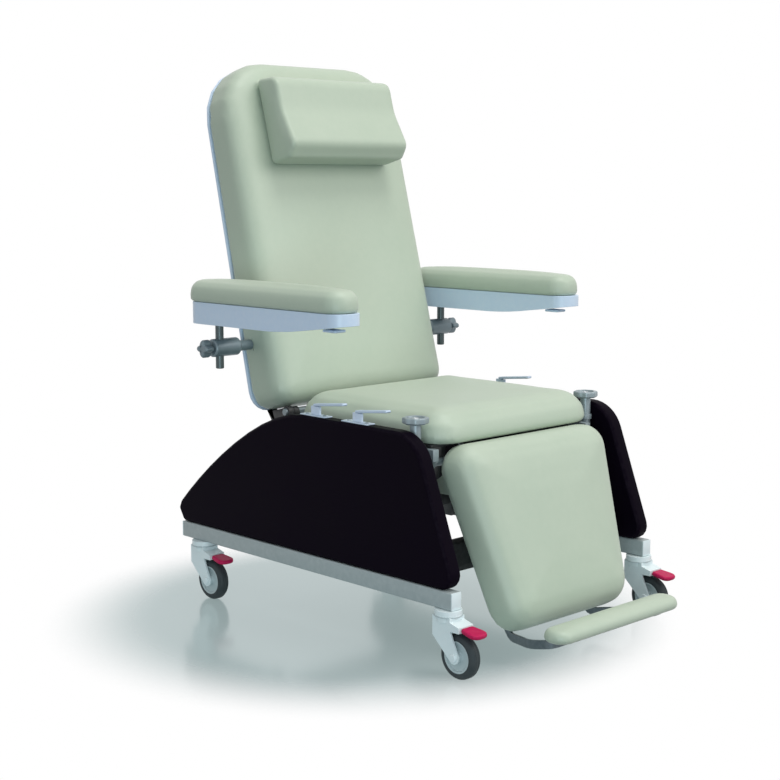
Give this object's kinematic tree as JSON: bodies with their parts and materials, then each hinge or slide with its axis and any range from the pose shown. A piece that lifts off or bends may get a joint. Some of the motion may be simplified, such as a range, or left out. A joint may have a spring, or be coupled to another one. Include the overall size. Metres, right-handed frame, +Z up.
{
  "type": "dialysis chair",
  "caption": "Wheeled treatment chair with a reclining padded back, sliding headrest, swing arms, lifting leg rest, footrest, braked casters and release levers.",
  "frame": {"origin": "on the floor under the middle of the chair's box", "axes": "+Z up, the patient faces -Y, +X is the patient's left"},
  "size_m": [0.8826, 1.1727, 1.3509],
  "materials": {
    "vinyl": "soft vinyl, satin",
    "white_plastic": "moulded, satin",
    "dark_panel": "moulded, glossy",
    "painted_rail": "powder coat",
    "dark_frame": "powder coat",
    "steel": "brushed",
    "caster_plastic": "moulded, satin",
    "tyre": "rubber tread",
    "pedal_red": "moulded, glossy",
    "strap_grey": "powder coat",
    "clamp_grey": "cast, satin"
  },
  "bodies": {
    "base": {"cross_beam_front": "dark_frame", "cross_beam_rear": "dark_frame", "back_axle": "steel", "seat_board": "dark_frame", "seat_cushion": "vinyl", "rail_right": "painted_rail", "side_frame_right": "dark_frame", "side_panel_right": "dark_panel", "accessory_post_right": "clamp_grey", "rail_left": "painted_rail", "side_frame_left": "dark_frame", "side_panel_left": "dark_panel", "accessory_post_left": "clamp_grey", "lever_base_right_front": "steel", "lever_base_right_rear": "steel", "lever_base_left": "steel"},
    "backrest": {"back_arm_right": "dark_frame", "back_arm_left": "dark_frame", "back_shell": "white_plastic", "back_cushion": "vinyl"},
    "headrest": {"headrest_cushion": "vinyl"},
    "leg_carriage": {"leg_carriage": "clamp_grey"},
    "leg_rest": {"leg_board": "vinyl", "leg_cushion": "vinyl"},
    "footrest": {"foot_strap_right": "strap_grey", "foot_strap_left": "strap_grey", "foot_pad": "vinyl"},
    "clamp_right": {"arm_clamp_right": "clamp_grey"},
    "star_right": {"star_knob_right": "white_plastic"},
    "post_right": {"arm_post_right": "steel"},
    "arm_right": {"arm_shell_right": "white_plastic", "arm_pad_right": "vinyl"},
    "paddle_right": {"arm_paddle_right": "white_plastic"},
    "knob_right": {"accessory_knob_right": "clamp_grey"},
    "clamp_left": {"arm_clamp_left": "clamp_grey"},
    "star_left": {"star_knob_left": "white_plastic"},
    "post_left": {"arm_post_left": "steel"},
    "arm_left": {"arm_shell_left": "white_plastic", "arm_pad_left": "vinyl"},
    "paddle_left": {"arm_paddle_left": "white_plastic"},
    "knob_left": {"accessory_knob_left": "clamp_grey"},
    "lever_right_front": {"lever_right_front": "steel"},
    "lever_right_rear": {"lever_right_rear": "steel"},
    "lever_left": {"lever_left": "steel"},
    "fork_front_right": {"caster_fork_front_right": "caster_plastic"},
    "wheel_front_right": {"caster_wheel_front_right": "tyre"},
    "pedal_front_right": {"brake_pedal_front_right": "pedal_red"},
    "fork_rear_right": {"caster_fork_rear_right": "caster_plastic"},
    "wheel_rear_right": {"caster_wheel_rear_right": "tyre"},
    "pedal_rear_right": {"brake_pedal_rear_right": "pedal_red"},
    "fork_front_left": {"caster_fork_front_left": "caster_plastic"},
    "wheel_front_left": {"caster_wheel_front_left": "tyre"},
    "pedal_front_left": {"brake_pedal_front_left": "pedal_red"},
    "fork_rear_left": {"caster_fork_rear_left": "caster_plastic"},
    "wheel_rear_left": {"caster_wheel_rear_left": "tyre"},
    "pedal_rear_left": {"brake_pedal_rear_left": "pedal_red"},
    "recline_cylinder": {"recline_spring_cylinder": "dark_frame"},
    "recline_rod": {"recline_spring_rod": "steel"},
    "leg_cylinder": {"leg_spring_cylinder": "dark_frame"},
    "leg_rod": {"leg_spring_rod": "steel"}
  },
  "joints": [
    {"name": "recline", "type": "hinge", "parent": "base", "child": "backrest", "pos_m": [0, 0.265, 0.495], "axis": [-1, 0, 0], "range_deg": [0, 60]},
    {"name": "headrest_slide", "type": "slide", "parent": "backrest", "child": "headrest", "axis": [0, 0.279, 0.9603], "range_m": [-0.12, 0.02]},
    {"name": "arm_level_right", "type": "hinge", "parent": "backrest", "child": "clamp_right", "pos_m": [-0.385, 0.3595, 0.657], "axis": [1, 0, 0], "range_deg": [0, 51]},
    {"name": "star_turn_right", "type": "hinge", "parent": "clamp_right", "child": "star_right", "pos_m": [-0.41, 0.3595, 0.657], "axis": [-1, 0, 0], "continuous": true},
    {"name": "post_slide_right", "type": "slide", "parent": "clamp_right", "child": "post_right", "axis": [0, 0, 1], "range_m": [-0.01, 0.03]},
    {"name": "arm_swing_right", "type": "hinge", "parent": "post_right", "child": "arm_right", "pos_m": [-0.385, 0.3595, 0.74], "axis": [0, 0, -1], "range_deg": [-10, 90]},
    {"name": "paddle_press_right", "type": "hinge", "parent": "arm_right", "child": "paddle_right", "pos_m": [-0.382, -0.033, 0.72991], "axis": [-1, 0, 0], "range_deg": [0, 5], "stiffness_Nm_per_rad": 0.5},
    {"name": "knob_turn_right", "type": "hinge", "parent": "base", "child": "knob_right", "pos_m": [-0.2968, -0.2256, 0.5355], "axis": [0, 0, 1], "continuous": true},
    {"name": "arm_level_left", "type": "hinge", "parent": "backrest", "child": "clamp_left", "pos_m": [0.385, 0.3595, 0.657], "axis": [1, 0, 0], "range_deg": [0, 51]},
    {"name": "star_turn_left", "type": "hinge", "parent": "clamp_left", "child": "star_left", "pos_m": [0.41, 0.3595, 0.657], "axis": [1, 0, 0], "continuous": true},
    {"name": "post_slide_left", "type": "slide", "parent": "clamp_left", "child": "post_left", "axis": [0, 0, 1], "range_m": [-0.01, 0.03]},
    {"name": "arm_swing_left", "type": "hinge", "parent": "post_left", "child": "arm_left", "pos_m": [0.385, 0.3595, 0.74], "axis": [0, 0, 1], "range_deg": [-10, 90]},
    {"name": "paddle_press_left", "type": "hinge", "parent": "arm_left", "child": "paddle_left", "pos_m": [0.382, -0.033, 0.72991], "axis": [-1, 0, 0], "range_deg": [0, 5], "stiffness_Nm_per_rad": 0.5},
    {"name": "knob_turn_left", "type": "hinge", "parent": "base", "child": "knob_left", "pos_m": [0.2968, -0.2256, 0.5355], "axis": [0, 0, 1], "continuous": true},
    {"name": "leg_lift", "type": "hinge", "parent": "leg_carriage", "child": "leg_rest", "pos_m": [0, -0.235, 0.436], "axis": [-1, 0, 0], "range_deg": [0, 70]},
    {"name": "leg_advance", "type": "slide", "parent": "base", "child": "leg_carriage", "axis": [0, -1, 0], "range_m": [0, 0.09]},
    {"name": "footrest_slide", "type": "slide", "parent": "leg_rest", "child": "footrest", "axis": [0, -0.3256, -0.9455], "range_m": [0, 0.025]},
    {"name": "lever_lift_right_front", "type": "hinge", "parent": "base", "child": "lever_right_front", "pos_m": [-0.333, -0.078, 0.5431], "axis": [-1, 0, 0], "range_deg": [0, 15], "stiffness_Nm_per_rad": 0.8},
    {"name": "lever_lift_right_rear", "type": "hinge", "parent": "base", "child": "lever_right_rear", "pos_m": [-0.333, 0.065, 0.5431], "axis": [-1, 0, 0], "range_deg": [0, 15], "stiffness_Nm_per_rad": 0.8},
    {"name": "lever_lift_left", "type": "hinge", "parent": "base", "child": "lever_left", "pos_m": [0.333, 0.087, 0.5431], "axis": [-1, 0, 0], "range_deg": [0, 15], "stiffness_Nm_per_rad": 0.8},
    {"name": "swivel_front_right", "type": "hinge", "parent": "base", "child": "fork_front_right", "pos_m": [-0.33775, -0.368, 0.14], "axis": [0, 0, 1], "continuous": true},
    {"name": "roll_front_right", "type": "hinge", "parent": "fork_front_right", "child": "wheel_front_right", "pos_m": [-0.33775, -0.405, 0.05], "axis": [1, 0, 0], "continuous": true},
    {"name": "brake_front_right", "type": "hinge", "parent": "fork_front_right", "child": "pedal_front_right", "pos_m": [-0.33775, -0.4236, 0.1125], "axis": [1, 0, 0], "range_deg": [0, 12]},
    {"name": "swivel_rear_right", "type": "hinge", "parent": "base", "child": "fork_rear_right", "pos_m": [-0.33775, 0.499, 0.14], "axis": [0, 0, 1], "continuous": true},
    {"name": "roll_rear_right", "type": "hinge", "parent": "fork_rear_right", "child": "wheel_rear_right", "pos_m": [-0.33775, 0.462, 0.05], "axis": [1, 0, 0], "continuous": true},
    {"name": "brake_rear_right", "type": "hinge", "parent": "fork_rear_right", "child": "pedal_rear_right", "pos_m": [-0.33775, 0.4434, 0.1125], "axis": [1, 0, 0], "range_deg": [0, 12]},
    {"name": "swivel_front_left", "type": "hinge", "parent": "base", "child": "fork_front_left", "pos_m": [0.33775, -0.368, 0.14], "axis": [0, 0, 1], "continuous": true},
    {"name": "roll_front_left", "type": "hinge", "parent": "fork_front_left", "child": "wheel_front_left", "pos_m": [0.33775, -0.405, 0.05], "axis": [1, 0, 0], "continuous": true},
    {"name": "brake_front_left", "type": "hinge", "parent": "fork_front_left", "child": "pedal_front_left", "pos_m": [0.33775, -0.4236, 0.1125], "axis": [1, 0, 0], "range_deg": [0, 12]},
    {"name": "swivel_rear_left", "type": "hinge", "parent": "base", "child": "fork_rear_left", "pos_m": [0.33775, 0.499, 0.14], "axis": [0, 0, 1], "continuous": true},
    {"name": "roll_rear_left", "type": "hinge", "parent": "fork_rear_left", "child": "wheel_rear_left", "pos_m": [0.33775, 0.462, 0.05], "axis": [1, 0, 0], "continuous": true},
    {"name": "brake_rear_left", "type": "hinge", "parent": "fork_rear_left", "child": "pedal_rear_left", "pos_m": [0.33775, 0.4434, 0.1125], "axis": [1, 0, 0], "range_deg": [0, 12]},
    {"name": "recline_spring_swing", "type": "hinge", "parent": "base", "child": "recline_cylinder", "pos_m": [0.2157, -0.212, 0.228], "axis": [-1, 0, 0], "range_deg": [0, 0.5]},
    {"name": "recline_spring_stroke", "type": "slide", "parent": "recline_cylinder", "child": "recline_rod", "axis": [0, 0.9134, 0.407], "range_m": [-0.06, 0]},
    {"name": "leg_spring_swing", "type": "hinge", "parent": "base", "child": "leg_cylinder", "pos_m": [-0.2157, 0.207, 0.228], "axis": [-1, 0, 0], "range_deg": [-2, 0]},
    {"name": "leg_spring_stroke", "type": "slide", "parent": "leg_cylinder", "child": "leg_rod", "axis": [0, -0.946, 0.3241], "range_m": [0, 0.155]}
  ],
  "couplings": [
    {"joint": "arm_level_right", "follows": "recline", "ratio": 0.85},
    {"joint": "arm_level_left", "follows": "recline", "ratio": 0.85},
    {"joint": "leg_advance", "follows": "leg_lift", "m_per_rad": 0.07365},
    {"joint": "recline_spring_swing", "follows": "recline", "ratio": 0.0077},
    {"joint": "recline_spring_stroke", "follows": "recline", "m_per_rad": -0.0571},
    {"joint": "leg_spring_swing", "follows": "leg_lift", "ratio": -0.0281},
    {"joint": "leg_spring_stroke", "follows": "leg_lift", "m_per_rad": 0.12679}
  ]
}
